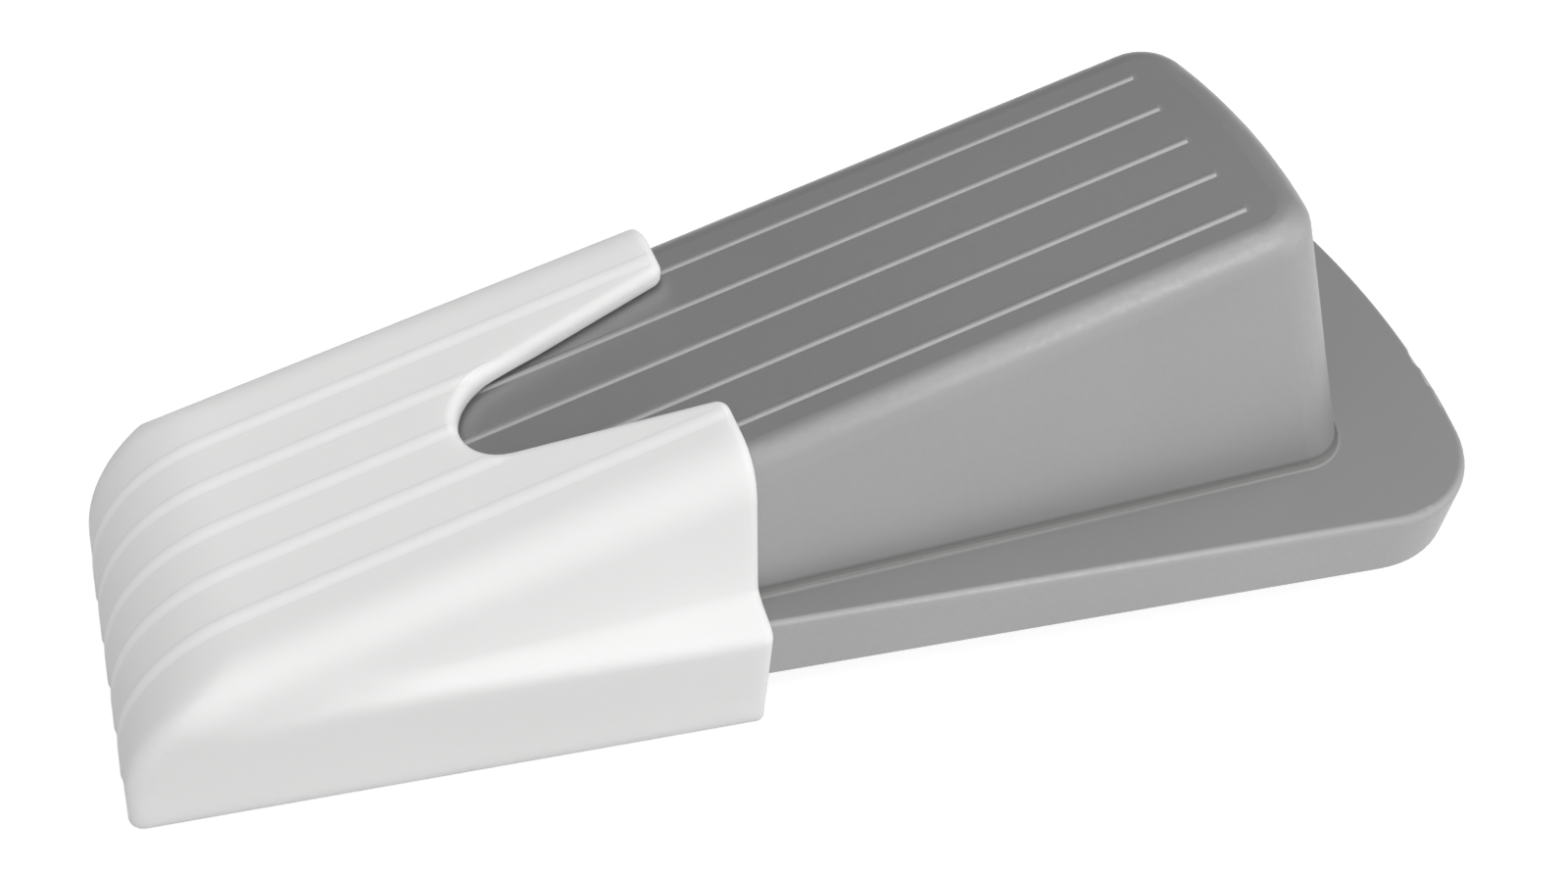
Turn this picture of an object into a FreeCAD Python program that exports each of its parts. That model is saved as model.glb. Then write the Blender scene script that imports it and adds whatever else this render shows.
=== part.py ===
import FreeCAD, Part
import math
import os

os.makedirs("parts", exist_ok=True)

# A rubber door wedge kept in a stick-on plastic pocket. Lengths in millimetres, angles in
# degrees. X runs from the wedge's thin nose to its heel, Y across, Z up. The wedge is drawn
# with the tip of its sole at the origin, and all pieces are moved together at the end.

# Wedge: foot
wedge_length = 120.5
foot_height = 6.45
nose_width = 27.1
foot_flare = 7.84
foot_bow = 78.0
foot_corner = 10.8
foot_edge = 0.8

# Wedge: body and ramp
wedge_height = 31.85
heel_ledge = 11.9
ramp_start = 7.73
ledge_from_nose = 8.5
side_draft = 12.3
rear_draft = 17.5
rear_bow = 74.0
rear_corner = 4.8
nose_round = 13.5
nose_corner = 0.8
nose_corner_top = 4.5
edge_round = 2.9
root_round = 0.7
root_ledge = 1.8

# Wedge: ribs along the ramp and grooves across the sole
rib_count = 5
rib_margin = 3.95
rib_width = 1.0
rib_height = 0.13
rib_root = 0.4
rib_sink = 0.05
rib_to_crest = 6.0
groove_pitch = 6.0
groove_width = 1.8
groove_depth = 0.8
groove_margin = 5.0

# Holder: a moulded pocket over the front of the wedge
clearance = 0.4
wall = 1.65
floor = 2.1
holder_rib_width = 2.0
nose_edge_round = 1.0
holder_corner = 1.5
holder_corner_top = 6.5
mouth_round = 0.8
mouth_from_nose = 49.0
mouth_lean = 2.5
front_lean = 9.9
shoulder_in = 0.9
shoulder_out = 1.7
shoulder_fall = 3.5
shoulder_level_from = 16.0
notch_depth = 19.4
notch_radius = 4.7
notch_spread = 11.7
prong_corner = 1.2

# Adhesive pad and its liner, in a recess under the holder
rim_depth = 1.65
rim_width = 3.0
recess_corner = 2.5
pad_gap = 0.4
pad_thickness = 1.8
liner_thickness = 0.15

# How far construction blocks reach past the pieces, how near counts as touching, and the
# tolerance of a cut along faces that lie on each other
reach = 12.0
touch = 0.01
fuzz = 0.001

V = FreeCAD.Vector
flare_slope = math.tan(math.radians(foot_flare))
draft_slope = math.tan(math.radians(side_draft))
rear_slope = math.tan(math.radians(rear_draft))
crest_x = wedge_length - heel_ledge - rear_slope * (wedge_height - foot_height)
ramp_slope = (wedge_height - ramp_start) / crest_x
ramp_angle = math.atan(ramp_slope)
shell = clearance + wall
holder_low = -(floor + rim_depth)
wide = nose_width + wedge_length
tall = 2 * wedge_height


def ramp_at(x, grow=0.0):
    """Height of the ramp at x, lifted by grow square to its surface."""
    return ramp_start + ramp_slope * x + grow / math.cos(ramp_angle)


def polygon(points):
    return Part.makePolygon(points + points[:1])


def prism(wire, direction):
    return Part.Face(wire).extrude(direction)


# The body is as wide as the foot at the start of the ledge, which widens from there
ledge_rise = ramp_at(ledge_from_nose) - foot_height
body_width = nose_width + 2 * (flare_slope * ledge_from_nose - draft_slope * ledge_rise)
root_x = ledge_from_nose + root_ledge / (flare_slope - draft_slope * ramp_slope)

# Centre of the nose curve, which runs into the ramp and ends at the tip of the sole
nose_drop = ramp_start - nose_round / math.cos(ramp_angle)
spread = 1 + ramp_slope ** 2
nose_root = math.sqrt((nose_drop * ramp_slope) ** 2 - spread * (nose_drop ** 2 - nose_round ** 2))
nose_x = (nose_root - nose_drop * ramp_slope) / spread
nose_z = nose_drop + ramp_slope * nose_x


def side_edges(grow, y, low, back_x):
    """Leaning front, nose curve and ramp seen from the side, grown outwards by grow."""
    radius = nose_round + grow
    lean = math.radians(front_lean)

    def on_curve(angle):
        return V(nose_x - radius * math.cos(angle), y, nose_z + radius * math.sin(angle))

    start = on_curve(lean)
    middle = on_curve((lean + math.pi / 2 - ramp_angle) / 2)
    end = on_curve(math.pi / 2 - ramp_angle)
    bottom = V(start.x - (start.z - low) * math.tan(lean), y, low)
    back = V(back_x, y, ramp_at(back_x, grow))
    curve_edge = Part.Arc(start, middle, end).toShape()
    return [Part.makeLine(bottom, start), curve_edge, Part.makeLine(end, back)], bottom, back


def side_block(grow, low, back_x):
    """Everything under the grown ramp and behind the grown nose, as far as back_x."""
    edges, bottom, back = side_edges(grow, -wide / 2, low, back_x)
    corner = V(back_x, -wide / 2, low)
    edges += [Part.makeLine(back, corner), Part.makeLine(corner, bottom)]
    return prism(Part.Wire(edges), V(0, wide, 0))


def tail_wire(half_width, slope, tip_x, bow, corner, z):
    """Plan with straight sides that open by slope, round rear corners and a bowed rear."""
    front_x = -reach
    stretch = math.hypot(1, slope)
    bow_x = tip_x - bow
    # The corner's centre lies one corner radius inside both the side line and the bow
    base = half_width - corner * stretch
    b = slope * base - bow_x
    c = bow_x ** 2 + base ** 2 - (bow - corner) ** 2
    centre_x = (math.sqrt(b ** 2 - stretch ** 2 * c) - b) / stretch ** 2
    centre_y = base + slope * centre_x
    turn = math.atan2(centre_y, centre_x - bow_x)
    half_turn = (turn + math.atan2(1, -slope)) / 2
    side = V(centre_x - corner * slope / stretch, centre_y + corner / stretch, z)
    middle = V(centre_x + corner * math.cos(half_turn), centre_y + corner * math.sin(half_turn), z)
    rear = V(bow_x + bow * math.cos(turn), bow * math.sin(turn), z)
    front = V(front_x, half_width + slope * front_x, z)

    def across(point):
        return V(point.x, -point.y, point.z)

    return Part.Wire([
        Part.makeLine(across(front), across(side)),
        Part.Arc(across(side), across(middle), across(rear)).toShape(),
        Part.Arc(across(rear), V(tip_x, 0, z), rear).toShape(),
        Part.Arc(rear, middle, side).toShape(),
        Part.makeLine(side, front),
        Part.makeLine(front, across(front)),
    ])


def foot_wire(grow, z):
    """The foot's plan, grown by grow on every side."""
    half_width = nose_width / 2 + grow * math.hypot(1, flare_slope)
    tip_x = wedge_length + grow
    return tail_wire(half_width, flare_slope, tip_x, foot_bow + grow, foot_corner + grow, z)


def body_block(grow, low):
    """The drafted body above low, before the ramp is cut: a ruled block between two plans."""
    side_grow = grow / math.cos(math.radians(side_draft))
    rear_grow = grow / math.cos(math.radians(rear_draft))
    plans = []
    for z in (low, wedge_height + reach):
        half_width = body_width / 2 + draft_slope * (ramp_start - z) + side_grow
        tip_x = crest_x + rear_slope * (wedge_height - z) + rear_grow
        plans.append(tail_wire(half_width, draft_slope * ramp_slope, tip_x, rear_bow, rear_corner, z))
    return Part.makeLoft(plans, True, True)


def nose_block(grow, low, corner, corner_top):
    """Side view and plan of the front half, with corners that get rounder from sole to ramp."""
    half = side_block(grow, low, wedge_length / 2).common(prism(foot_wire(grow, low), V(0, 0, tall)))
    half = half.common(Part.makeBox(3 * wedge_length, wide, 2 * tall, V(-wedge_length, -wide, low)))
    seams = []
    for edge in half.Edges:
        box = edge.BoundBox
        on_nose = box.XMin < nose_x and box.XMax - box.XMin > touch
        if edge.CenterOfMass.y < -nose_width / 4 and on_nose and box.ZMax > low + touch:
            seams.append(edge)
    seams.sort(key=lambda edge: edge.CenterOfMass.x)
    half = half.makeFillet(corner, corner_top, seams)
    return half.fuse(half.mirror(V(0, 0, 0), V(0, 1, 0))).removeSplitter()


def ribs(grow, width, low, back_x):
    """Fine ridges that run up the nose and along the ramp, each a low wave in section."""
    solids = []
    rib_pitch = (nose_width - 2 * rib_margin) / (rib_count - 1)
    lifts = [-rib_sink, rib_height / 2, rib_height, rib_height / 2, -rib_sink]
    for number in range(rib_count):
        y = (number - (rib_count - 1) / 2) * rib_pitch
        wires = []
        for step, lift in enumerate(lifts):
            across = y + (step / (len(lifts) - 1) - 1 / 2) * width
            top, top_bottom, top_back = side_edges(grow + lift, across, low, back_x)
            under, under_bottom, under_back = side_edges(grow - rib_root, across, low, back_x)
            down = Part.makeLine(top_back, under_back)
            up = Part.makeLine(under_bottom, top_bottom)
            wires.append(Part.Wire(top + [down] + under[::-1] + [up]))
        solids.append(Part.makeLoft(wires, True, False))
    return solids


def block_behind(x, lean):
    """Everything behind a plane that meets the sole at x and leans back by lean."""
    shift = math.tan(math.radians(lean))
    low = -reach
    far = 2 * wedge_length
    bottom = V(x + low * shift, -wide, low)
    top = V(x + tall * shift, -wide, tall)
    outline = polygon([bottom, top, V(far, -wide, tall), V(far, -wide, low)])
    return prism(outline, V(0, 2 * wide, 0))


above_sole = Part.makeBox(2 * wedge_length, wide, tall, V(-wedge_length / 2, -wide / 2, 0))

# Wedge, moulded in one piece of rubber: its flat foot
foot = prism(foot_wire(0, 0), V(0, 0, foot_height))
foot_rim = [edge for edge in foot.Edges if edge.BoundBox.ZMin > foot_height - touch]
foot = foot.makeFillet(foot_edge, foot_rim)


def body_halves(grow):
    """The body cut under the ramp, with its top edge rounded right round the heel."""
    half = body_block(grow, 0).common(side_block(grow, -reach, wedge_length + reach))
    half = half.common(Part.makeBox(3 * wedge_length, wide, tall, V(-wedge_length, -wide, 0)))
    top_edges = []
    for edge in half.Edges:
        middle = edge.CenterOfMass
        on_ramp = abs(middle.z - ramp_at(middle.x, grow)) < touch
        if edge.Length > wedge_length / 2 and middle.y < -touch and on_ramp:
            top_edges.append(edge)
    half = half.makeFillet(edge_round + grow, top_edges)
    return [half, half.mirror(V(0, 0, 0), V(0, 1, 0))]


wedge = foot.fuse(body_halves(0)).removeSplitter()

# The root radius runs round the body where the foot stands out from it
rear_cutter = block_behind(root_x, 0)
rear_part = wedge.common(rear_cutter)
roots = []
for edge in rear_part.Edges:
    box = edge.BoundBox
    on_foot = abs(box.ZMin - foot_height) < touch and abs(box.ZMax - foot_height) < touch
    if on_foot and root_x + touch < box.XMax < wedge_length - heel_ledge + touch:
        roots.append(edge)
rear_part = rear_part.makeFillet(root_round, roots)
nose = nose_block(0, -reach, nose_corner, nose_corner_top)
front_part = wedge.cut(rear_cutter).common([nose], fuzz)
wedge = rear_part.fuse(front_part).removeSplitter()

# Its ribs, and the shallow grooves that give the sole its grip
wedge_ribs = [rib.common(above_sole) for rib in ribs(0, rib_width, -touch, crest_x - rib_to_crest)]
wedge = wedge.fuse(wedge_ribs)
grooves = []
for number in range(int((crest_x - 2 * groove_margin) / groove_pitch)):
    x = 2 * groove_margin + number * groove_pitch
    half_width = nose_width / 2 + flare_slope * x - groove_margin
    corner = V(x, -half_width, -groove_depth)
    grooves.append(Part.makeBox(groove_width, 2 * half_width, 2 * groove_depth, corner))
wedge = wedge.cut(grooves)


def curve(points):
    if len(points) == 2:
        return Part.makeLine(points[0], points[1])
    bezier = Part.BezierCurve()
    bezier.setPoles(points)
    return bezier.toShape()


def skin_solid(stations):
    """A solid through cross-sections with like corners: flat strips, or ruled where they curve."""
    ends = [Part.Wire([curve(strip) for strip in stations[end]]) for end in (0, -1)]
    faces = [Part.Face(wire) for wire in ends]
    for here, there in zip(stations, stations[1:]):
        for first, second in zip(here, there):
            if len(first) == 2:
                faces.append(Part.Face(polygon([first[0], first[1], second[1], second[0]])))
            else:
                faces.append(Part.makeRuledSurface(curve(first), curve(second)))
    skin = Part.makeShell(faces)
    skin.sewShape()
    return Part.makeSolid(skin)


def half_section(x, shoulder_z, sign):
    """One side of the holder's outside at x: a soft shoulder, and a round edge under the roof."""
    draft = math.radians(side_draft)
    wall_y = nose_width / 2 + flare_slope * x + shell * math.hypot(1, flare_slope)
    roof = ramp_at(x, shell)
    roof_round = shell + nose_edge_round + (edge_round - nose_edge_round) * x / mouth_from_nose
    tangent = roof_round * math.tan(math.pi / 4 - draft / 2)
    side_top = roof - tangent * math.cos(draft)

    def side_y(z):
        return body_width / 2 + draft_slope * (ramp_at(x) - z) + shell / math.cos(draft)

    def at(y, z):
        return V(x, sign * y, z)

    shoulder = [
        at(wall_y, shoulder_z - shoulder_out),
        at(wall_y, shoulder_z),
        at((wall_y + side_y(shoulder_z)) / 2, shoulder_z),
        at(side_y(shoulder_z), shoulder_z),
        at(side_y(shoulder_z + shoulder_in), shoulder_z + shoulder_in),
    ]
    roof_edge = [at(side_y(side_top), side_top), at(side_y(roof), roof), at(side_y(roof) - tangent, roof)]
    return shoulder, roof_edge


def section(x, shoulder_z):
    """The holder's outside at x, all the way round, as strips of two or more points."""
    low = holder_low - reach
    left, left_top = half_section(x, shoulder_z, -1)
    right, right_top = half_section(x, shoulder_z, 1)
    left_foot = V(x, left[0].y, low)
    right_foot = V(x, right[0].y, low)
    return [
        [left_foot, left[0]],
        left,
        [left[-1], left_top[0]],
        left_top,
        [left_top[-1], right_top[-1]],
        right_top[::-1],
        [right_top[0], right[-1]],
        right[::-1],
        [right[0], right_foot],
        [right_foot, left_foot],
    ]


# Holder, moulded in white plastic: its outside follows the wedge at one wall's distance,
# and the shoulder over the foot fades out towards the nose
shoulder_level = foot_height + shell
holder = skin_solid([
    section(-reach / 2, shoulder_level - shoulder_fall),
    section(shoulder_level_from, shoulder_level),
    section(wedge_length / 2, shoulder_level),
])
holder = holder.common(nose_block(shell, holder_low, holder_corner, holder_corner_top))
outside = holder.Shells[0]

# The pocket is the wedge's own form grown by the clearance
pocket = prism(foot_wire(clearance, 0), V(0, 0, foot_height + clearance))
pocket = pocket.fuse(body_halves(clearance))
pocket = pocket.common(side_block(clearance, -reach, wedge_length + reach))
pocket = pocket.common(prism(foot_wire(clearance, 0), V(0, 0, tall)))
pocket_ribs = ribs(clearance, rib_width + 2 * clearance, -touch, wedge_length / 2)
pocket = pocket.fuse([rib.common(above_sole) for rib in pocket_ribs])


def mouth_block(grow):
    """The mouth, and the deep round notch in the roof for a thumb to reach the wedge."""
    angle = math.radians(notch_spread)
    radius = notch_radius + grow
    centre_x = mouth_from_nose - notch_depth + notch_radius
    start_x = centre_x - radius * math.sin(angle)
    start_y = radius * math.cos(angle)
    end_x = wedge_length
    end_y = start_y + (end_x - start_x) * math.tan(angle)
    far_start = V(start_x, start_y, foot_height)
    far_end = V(end_x, end_y, foot_height)
    near_start = V(start_x, -start_y, foot_height)
    near_end = V(end_x, -end_y, foot_height)
    notch = Part.Wire([
        Part.Arc(near_start, V(centre_x - radius, 0, foot_height), far_start).toShape(),
        Part.makeLine(far_start, far_end),
        Part.makeLine(far_end, near_end),
        Part.makeLine(near_end, near_start),
    ])
    behind = block_behind(mouth_from_nose - grow, mouth_lean)
    return behind.fuse(prism(notch, V(0, 0, tall - foot_height)))


# Its mouth is cut out, and the mouth's outer edge is rounded all the way to the underside
opening = mouth_block(0)
prong_edges = []
for edge in opening.Edges:
    box = edge.BoundBox
    upright = box.ZMax - box.ZMin > wedge_height and abs(edge.CenterOfMass.y) < nose_width
    if upright and mouth_from_nose - touch < box.XMin < wedge_length - touch:
        prong_edges.append(edge)
opening = opening.makeFillet(prong_corner, prong_edges)
holder = holder.cut(pocket).cut(opening)
rim = []
for edge in holder.Edges:
    middle = Part.Vertex(edge.valueAt((edge.FirstParameter + edge.LastParameter) / 2))
    on_mouth = opening.Shells[0].distToShape(middle)[0] < touch
    if on_mouth and outside.distToShape(middle)[0] < touch and middle.Z > holder_low + touch:
        rim.append(edge)
holder = holder.makeFillet(mouth_round, rim)

# The ridges over the wedge's ribs stop where the mouth's rounded edge begins
holder_ribs = ribs(shell, holder_rib_width, holder_low, wedge_length / 2)
holder = holder.fuse([rib.cut(mouth_block(mouth_round)) for rib in holder_ribs])

holder_front = side_edges(shell, 0, holder_low, 0)[1].x
holder_back = mouth_from_nose + holder_low * math.tan(math.radians(mouth_lean))


def base_slab(inset, corner, low, high):
    """A flat slab of the holder's plan, inset by a margin, with round corners."""
    length = holder_back - holder_front - 2 * inset
    span = Part.makeBox(length, wide, high - low, V(holder_front + inset, -wide / 2, low))
    slab = span.common(prism(foot_wire(shell - inset, low), V(0, 0, high - low)))
    upright = [edge for edge in slab.Edges if edge.BoundBox.ZMax - edge.BoundBox.ZMin > (high - low) / 2]
    return slab.makeFillet(corner, upright)


# The recess in the holder's back, the foam pad stuck in it and the liner over the pad
recess_top = holder_low + rim_depth
pad_low = recess_top - pad_thickness
liner_low = pad_low - liner_thickness
pad_inset = rim_width + pad_gap
pad_corner = recess_corner - pad_gap
holder = holder.cut(base_slab(rim_width, recess_corner, holder_low - reach, recess_top))
pad = base_slab(pad_inset, pad_corner, pad_low, recess_top)
liner = base_slab(pad_inset, pad_corner, liner_low, pad_low)

# The final origin is under the middle of the whole, on the face that the liner rests on
front_x = holder_front - rib_height / math.cos(math.radians(front_lean))
shift = V(-(front_x + wedge_length) / 2, 0, -liner_low)
pieces = {"door_wedge": wedge, "holder": holder, "adhesive_pad": pad, "release_liner": liner}
for name, piece in pieces.items():
    piece.translate(shift)
    piece.exportStep("parts/" + name + ".step")
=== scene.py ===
import bmesh
import bpy
import math
from mathutils import Matrix, Vector


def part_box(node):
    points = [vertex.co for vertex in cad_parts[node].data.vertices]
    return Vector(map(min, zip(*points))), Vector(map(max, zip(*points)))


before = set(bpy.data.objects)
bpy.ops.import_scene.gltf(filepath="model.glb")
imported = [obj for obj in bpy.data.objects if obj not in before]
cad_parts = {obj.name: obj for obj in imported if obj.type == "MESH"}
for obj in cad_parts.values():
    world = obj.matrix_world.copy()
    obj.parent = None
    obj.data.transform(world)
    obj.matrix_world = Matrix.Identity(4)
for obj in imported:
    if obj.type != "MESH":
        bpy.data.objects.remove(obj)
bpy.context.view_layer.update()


# Release liner: a sheet of waxed paper, die-cut with the pad it covers. It is peeled off when
# the holder is put up, and until then the whole thing lies on it.
fibres_per_metre = 900
fibre_detail = 6
paper_dark = (0.56, 0.42, 0.22)
paper_light = (0.68, 0.54, 0.32)
paper_roughness = (0.35, 0.5)
fibre_relief = 0.2
fibre_depth = 0.00005
noise_spread = (0.3, 0.7)


def node_material(name):
    """A new material, with its node tree and its Principled shader."""
    material = bpy.data.materials.new(name)
    material.use_nodes = True
    return material, material.node_tree, material.node_tree.nodes["Principled BSDF"]


def object_coordinates(tree):
    return tree.nodes.new("ShaderNodeTexCoord").outputs["Object"]


def feed(tree, socket, value):
    """Links an output to the socket, or writes a plain number or colour on it."""
    if isinstance(value, bpy.types.NodeSocket):
        tree.links.new(value, socket)
    else:
        socket.default_value = value


def mapped(tree, value, low, high, to_low, to_high):
    """A value brought from one range to another, and held inside it."""
    node = tree.nodes.new("ShaderNodeMapRange")
    names = ("Value", "From Min", "From Max", "To Min", "To Max")
    for name, number in zip(names, (value, low, high, to_low, to_high)):
        feed(tree, node.inputs[name], number)
    return node.outputs["Result"]


def spread(tree, noise, low, high):
    """A noise, stretched so that the values it mostly has run from low to high."""
    return mapped(tree, noise, *noise_spread, low, high)


def blended(tree, mask, first, second):
    """The first colour where the mask is 0 and the second where it is 1."""
    node = tree.nodes.new("ShaderNodeMix")
    node.data_type = "RGBA"
    feed(tree, node.inputs["Factor"], mask)
    for name, colour in (("A", first), ("B", second)):
        feed(tree, node.inputs[name], (*colour, 1) if isinstance(colour, tuple) else colour)
    return node.outputs["Result"]


def add_bump(tree, shader, height, strength, distance):
    """Fine relief on the shader's normal. Its node comes back, for a normal to go under it."""
    bump = tree.nodes.new("ShaderNodeBump")
    bump.inputs["Strength"].default_value = strength
    bump.inputs["Distance"].default_value = distance
    tree.links.new(height, bump.inputs["Height"])
    tree.links.new(bump.outputs["Normal"], shader.inputs["Normal"])
    return bump


def dress(node_name, material):
    """A CAD node keeps its mesh and takes the material in all its slots."""
    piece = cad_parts[node_name]
    for slot in piece.material_slots:
        slot.material = material
    if not piece.material_slots:
        piece.data.materials.append(material)


liner_paper, tree, shader = node_material("waxed_liner_paper")
texture = tree.nodes.new("ShaderNodeTexNoise")
texture.inputs["Scale"].default_value = fibres_per_metre
texture.inputs["Detail"].default_value = fibre_detail
tree.links.new(object_coordinates(tree), texture.inputs["Vector"])
fibres = texture.outputs["Fac"]
tree.links.new(blended(tree, fibres, paper_dark, paper_light), shader.inputs["Base Color"])
tree.links.new(spread(tree, fibres, *paper_roughness), shader.inputs["Roughness"])
add_bump(tree, shader, fibres, fibre_relief, fibre_depth)
dress("release_liner", liner_paper)


# Adhesive pad: white closed-cell foam with glue on both faces, die-cut to sit inside the
# recess in the holder's back with a small gap all round.
cells_per_metre = 2500
foam_hollow = (0.62, 0.62, 0.6)
foam_skin = (0.78, 0.78, 0.76)
foam_roughness = 0.85
cell_relief = 0.5
cell_depth = 0.0001

pad_foam, tree, shader = node_material("white_foam")
texture = tree.nodes.new("ShaderNodeTexVoronoi")
texture.inputs["Scale"].default_value = cells_per_metre
tree.links.new(object_coordinates(tree), texture.inputs["Vector"])
cells = texture.outputs["Distance"]
tree.links.new(blended(tree, cells, foam_hollow, foam_skin), shader.inputs["Base Color"])
shader.inputs["Roughness"].default_value = foam_roughness
add_bump(tree, shader, cells, cell_relief, cell_depth)
dress("adhesive_pad", pad_foam)


# Holder: one injection moulding in white ABS with a fine satin finish. Its roof, nose and
# shoulders follow the wedge inside, down to soft ridges over the wedge's ribs, and the nose
# runs into the sides in broad soft corners.
rib_pitch = 0.0048
crest_half_width = 0.0002
ribbed_half_width = 0.0105
ribs_fade = 0.0005
ridge_foot = 0.0007
ridge_end = 0
grain_detail = 3
shade_detail = 2
plastic_grain = {"Grain Scale": 2600, "Shade Scale": 25}
plastic_dark = (0.85, 0.85, 0.845)
plastic_light = (0.88, 0.88, 0.875)
# A painted highlight along the ridges' crests
painted_ridge_highlight = (0.95, 0.95, 0.945)
plastic_roughness = (0.56, 0.64)
plastic_relief = 0.08
plastic_depth = 0.00003
glow_depth = 0.002
corner_radius = 0.0035
corner_samples = 8
corner_beside_ribs = (0.0112, 0.0135)
corner_along_nose = (-0.041, -0.034)
corner_above_rim = (0.0025, 0.0055)


def new_group(name, inputs, outputs):
    """A group with a Vector and numbers going in, and numbers coming out."""
    group = bpy.data.node_groups.new(name, "ShaderNodeTree")
    group.interface.new_socket("Vector", in_out="INPUT", socket_type="NodeSocketVector")
    for way, sockets in (("INPUT", inputs), ("OUTPUT", outputs)):
        for socket in sockets:
            group.interface.new_socket(socket, in_out=way, socket_type="NodeSocketFloat")
    return group, group.nodes.new("NodeGroupInput"), group.nodes.new("NodeGroupOutput")


def placed(tree, group, numbers):
    """The group in a material, on Object coordinates and with the material's own numbers."""
    node = tree.nodes.new("ShaderNodeGroup")
    node.node_tree = group
    tree.links.new(object_coordinates(tree), node.inputs["Vector"])
    for name, number in numbers.items():
        node.inputs[name].default_value = number
    return node.outputs


def worked_out(tree, operation, *values):
    """A Math node's result, from outputs and plain numbers."""
    node = tree.nodes.new("ShaderNodeMath")
    node.operation = operation
    for socket, value in zip(node.inputs, values):
        feed(tree, socket, value)
    return node.outputs["Value"]


def product_of(tree, first, *others):
    """Outputs multiplied together, which for masks leaves the places that are in all of them."""
    for other in others:
        first = worked_out(tree, "MULTIPLY", first, other)
    return first


def split(tree, vector):
    """The X, Y and Z of a vector."""
    node = tree.nodes.new("ShaderNodeSeparateXYZ")
    tree.links.new(vector, node.inputs["Vector"])
    return node.outputs


# The moulding's fine grain as a height, and its slow shade as a mask
grain_scales = ("Grain Scale", "Shade Scale")
mould_grain, entry, exit_node = new_group("mould_grain", grain_scales, ("Grain", "Shade"))
for scale, detail, output in zip(grain_scales, (grain_detail, shade_detail), ("Grain", "Shade")):
    texture = mould_grain.nodes.new("ShaderNodeTexNoise")
    texture.inputs["Detail"].default_value = detail
    mould_grain.links.new(entry.outputs["Vector"], texture.inputs["Vector"])
    mould_grain.links.new(entry.outputs[scale], texture.inputs["Scale"])
    mould_grain.links.new(texture.outputs["Fac"], exit_node.inputs[output])

# A mask of the ribs' crests, where a paler painted highlight goes: it falls off to each rib's
# Foot, and stops at their End
rib_crests, entry, exit_node = new_group("rib_crests", ("Foot", "End"), ("Crest",))
place = split(rib_crests, entry.outputs["Vector"])
from_rib = worked_out(rib_crests, "PINGPONG", place["Y"], rib_pitch / 2)
from_middle = worked_out(rib_crests, "ABSOLUTE", place["Y"])
past_end = worked_out(rib_crests, "SUBTRACT", place["X"], entry.outputs["End"])
ribs_edge = ribbed_half_width + ribs_fade
crests = product_of(
    rib_crests,
    mapped(rib_crests, from_rib, crest_half_width, entry.outputs["Foot"], 1, 0),
    mapped(rib_crests, from_middle, ribbed_half_width, ribs_edge, 1, 0),
    mapped(rib_crests, past_end, 0, ribs_fade, 1, 0),
)
rib_crests.links.new(crests, exit_node.inputs["Crest"])

white_plastic, tree, shader = node_material("satin_white_plastic")
finish = placed(tree, mould_grain, plastic_grain)
shade = spread(tree, finish["Shade"], 0, 1)
plain = blended(tree, shade, plastic_dark, plastic_light)
# The ridges' crests are painted paler, as a painted highlight
crests = placed(tree, rib_crests, {"Foot": ridge_foot, "End": ridge_end})["Crest"]
tree.links.new(blended(tree, crests, plain, painted_ridge_highlight), shader.inputs["Base Color"])
tree.links.new(spread(tree, finish["Grain"], *plastic_roughness), shader.inputs["Roughness"])
shader.inputs["Specular IOR Level"].default_value = 0.25
shader.inputs["Subsurface Weight"].default_value = 0.6
shader.inputs["Subsurface Radius"].default_value = (1, 1, 1)
shader.inputs["Subsurface Scale"].default_value = glow_depth
relief = add_bump(tree, shader, finish["Grain"], plastic_relief, plastic_depth)

# The nose's side corners are shaded as one broad curve, clear of the ribs and the bottom rim
place = split(tree, object_coordinates(tree))
from_middle = worked_out(tree, "ABSOLUTE", place["Y"])
reach = product_of(
    tree,
    mapped(tree, from_middle, *corner_beside_ribs, 0, corner_radius),
    mapped(tree, place["X"], *corner_along_nose, 1, 0),
    mapped(tree, place["Z"], *corner_above_rim, 0, 1),
)
corner = tree.nodes.new("ShaderNodeBevel")
corner.samples = corner_samples
tree.links.new(reach, corner.inputs["Radius"])
tree.links.new(corner.outputs["Normal"], relief.inputs["Normal"])
dress("holder", white_plastic)


# Door wedge: one solid moulding in silver-grey rubber, with a fine metallic pigment that gives
# its satin surface a soft gleam. The ribs on the ramp grip the underside of the door, and a
# paler painted highlight runs along their crests. Painted shade darkens the crease above the
# foot.
foot_height = 0.00645
rib_foot = 0.0005
rib_end = 0.0358
rubber_grain = {"Grain Scale": 2200, "Shade Scale": 40}
rubber_dark = (0.34, 0.34, 0.34)
rubber_light = (0.36, 0.36, 0.36)
# The crest colour is a painted highlight along the ribs
painted_crest_highlight = (0.43, 0.43, 0.43)
# The crease colour is painted shade
painted_crease_shade = (0.17, 0.17, 0.165)
rubber_roughness = (0.4, 0.48)
rubber_relief = 0.1
rubber_depth = 0.00005
pigment = 0.75
crease_starts = (0.00001, 0.00008)  # above the foot, as the next
crease_ends = (0.0003, 0.001)

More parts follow.
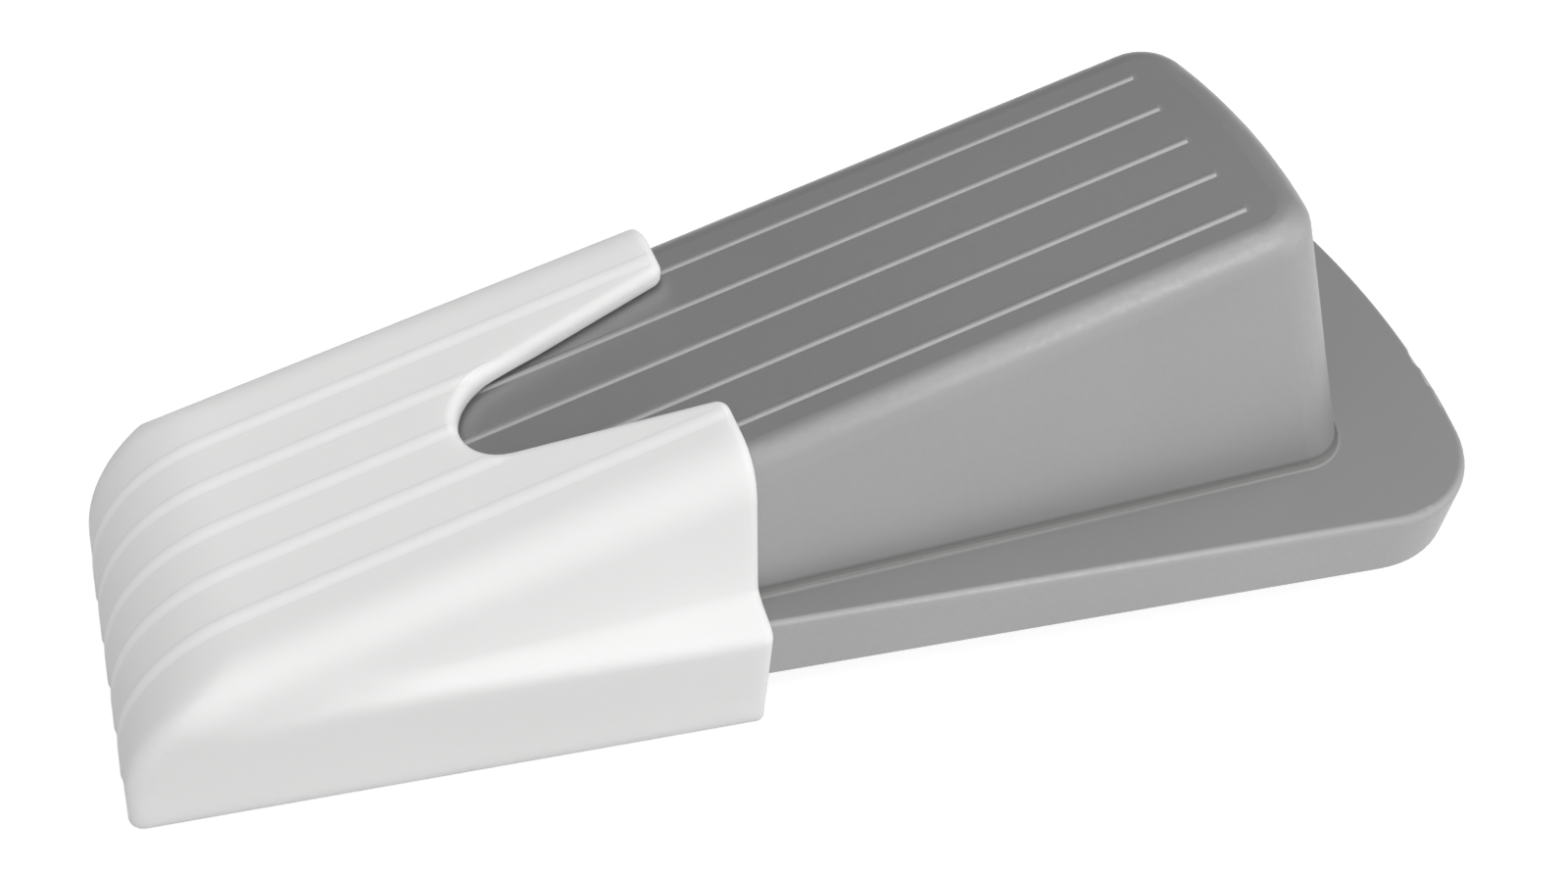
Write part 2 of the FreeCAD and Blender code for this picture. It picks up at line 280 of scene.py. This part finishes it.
grey_rubber, tree, shader = node_material("silver_grey_rubber")
finish = placed(tree, mould_grain, rubber_grain)
shade = spread(tree, finish["Shade"], 0, 1)
plain = blended(tree, shade, rubber_dark, rubber_light)
crests = placed(tree, rib_crests, {"Foot": rib_foot, "End": rib_end})["Crest"]
# Painted highlight on the ribs' crests
with_crest_highlight = blended(tree, crests, plain, painted_crest_highlight)
foot_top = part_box("door_wedge")[0][2] + foot_height
above_foot = worked_out(tree, "SUBTRACT", split(tree, object_coordinates(tree))["Z"], foot_top)
# Painted shade: a thin dark band just above the foot, in the crease
crease_shade_mask = product_of(
    tree,
    mapped(tree, above_foot, *crease_starts, 0, 1),
    mapped(tree, above_foot, *crease_ends, 1, 0),
)
tree.links.new(blended(tree, crease_shade_mask, with_crest_highlight, painted_crease_shade), shader.inputs["Base Color"])
tree.links.new(spread(tree, finish["Grain"], *rubber_roughness), shader.inputs["Roughness"])
shader.inputs["Metallic"].default_value = pigment
add_bump(tree, shader, finish["Grain"], rubber_relief, rubber_depth)
dress("door_wedge", grey_rubber)


# Floor: a plain white table. What the camera sees of it is white, and it keeps the soft
# shadow that the object throws.
half_floor = 12
floor_level = -0.0002
table_colour = (0.46, 0.46, 0.46)
table_glow = 0.75

floor_shape = bmesh.new()
just_under = Matrix.Translation((0, 0, floor_level))
bmesh.ops.create_grid(floor_shape, x_segments=1, y_segments=1, size=half_floor, matrix=just_under)
floor_mesh = bpy.data.meshes.new("floor")
floor_shape.to_mesh(floor_mesh)
floor_shape.free()
floor = bpy.data.objects.new("floor", floor_mesh)
bpy.context.scene.collection.objects.link(floor)
table_white, tree, shader = node_material("table_white")
shader.inputs["Base Color"].default_value = (*table_colour, 1)
shader.inputs["Roughness"].default_value = 0.9
shader.inputs["Specular IOR Level"].default_value = 0.1
rays = tree.nodes.new("ShaderNodeLightPath").outputs
seen = worked_out(tree, "MAXIMUM", rays["Is Camera Ray"], rays["Is Glossy Ray"])
seen = worked_out(tree, "MAXIMUM", seen, rays["Is Transmission Ray"])
glow = tree.nodes.new("ShaderNodeEmission")
tree.links.new(mapped(tree, seen, 0, 1, 0, table_glow), glow.inputs["Strength"])
added = tree.nodes.new("ShaderNodeAddShader")
tree.links.new(shader.outputs["BSDF"], added.inputs[0])
tree.links.new(glow.outputs["Emission"], added.inputs[1])
tree.links.new(added.outputs["Shader"], tree.nodes["Material Output"].inputs["Surface"])
floor.data.materials.append(table_white)


# Light: a white room, bright in front of the object, to its right and overhead, and dim behind
# it, and one small lamp, high in front and to the right, that draws the gleam along the
# wedge's top edge. A direction's stretch comes first, and then the brightness at its two ends.
front_to_back = (-0.3, 0.5, 1.1, 0.35)
left_to_right = (-1, 1, 0.5, 1.5)
side_to_ceiling = (0.8, 1, 1, 1.75)
lamp_place = Vector((0.12, -0.41, 0.45))
lamp_aim = Vector((0, 0, 0.015))
lamp_size = 0.1
lamp_power = 0.23

world = bpy.data.worlds.new("room")
bpy.context.scene.world = world
world.use_nodes = True
sky = world.node_tree
room = sky.nodes["Background"]
room.inputs["Color"].default_value = (1, 1, 1, 1)
direction = split(sky, sky.nodes.new("ShaderNodeTexCoord").outputs["Generated"])
brightness = product_of(
    sky,
    mapped(sky, direction["Y"], *front_to_back),
    mapped(sky, direction["X"], *left_to_right),
    mapped(sky, direction["Z"], *side_to_ceiling),
)
sky.links.new(brightness, room.inputs["Strength"])
edge_light = bpy.data.lights.new("edge_lamp", "AREA")
edge_light.shape = "SQUARE"
edge_light.size = lamp_size
edge_light.energy = lamp_power
edge_lamp = bpy.data.objects.new("edge_lamp", edge_light)
edge_lamp.location = lamp_place
edge_lamp.rotation_euler = (lamp_aim - lamp_place).to_track_quat("-Z", "Y").to_euler()
bpy.context.scene.collection.objects.link(edge_lamp)


# Camera: it stands close in front of the near side and looks down on it, rolled a little, as
# in the photograph.
view_azimuth = math.radians(-23.3667)
view_elevation = math.radians(47.3015)
view_roll = math.radians(3.2655)
camera_place = Vector((-0.041659, -0.095892, 0.122915))
focal_length = 38.854
sensor_width = 36
nearest_seen = 0.005

back = Vector((
    math.sin(view_azimuth) * math.cos(view_elevation),
    -math.cos(view_azimuth) * math.cos(view_elevation),
    math.sin(view_elevation),
))
level_right = (-back).cross(Vector((0, 0, 1))).normalized()
level_up = level_right.cross(-back)
right = level_right * math.cos(view_roll) + level_up * math.sin(view_roll)
up = level_up * math.cos(view_roll) - level_right * math.sin(view_roll)
turned = Matrix((right, up, back)).transposed().to_4x4()
camera_data = bpy.data.cameras.new("camera")
camera_data.sensor_width = sensor_width
camera_data.lens = focal_length
camera_data.clip_start = nearest_seen
camera = bpy.data.objects.new("camera", camera_data)
camera.matrix_world = Matrix.Translation(camera_place) @ turned
bpy.context.scene.collection.objects.link(camera)
bpy.context.scene.camera = camera
bpy.context.scene.view_settings.view_transform = "Standard"
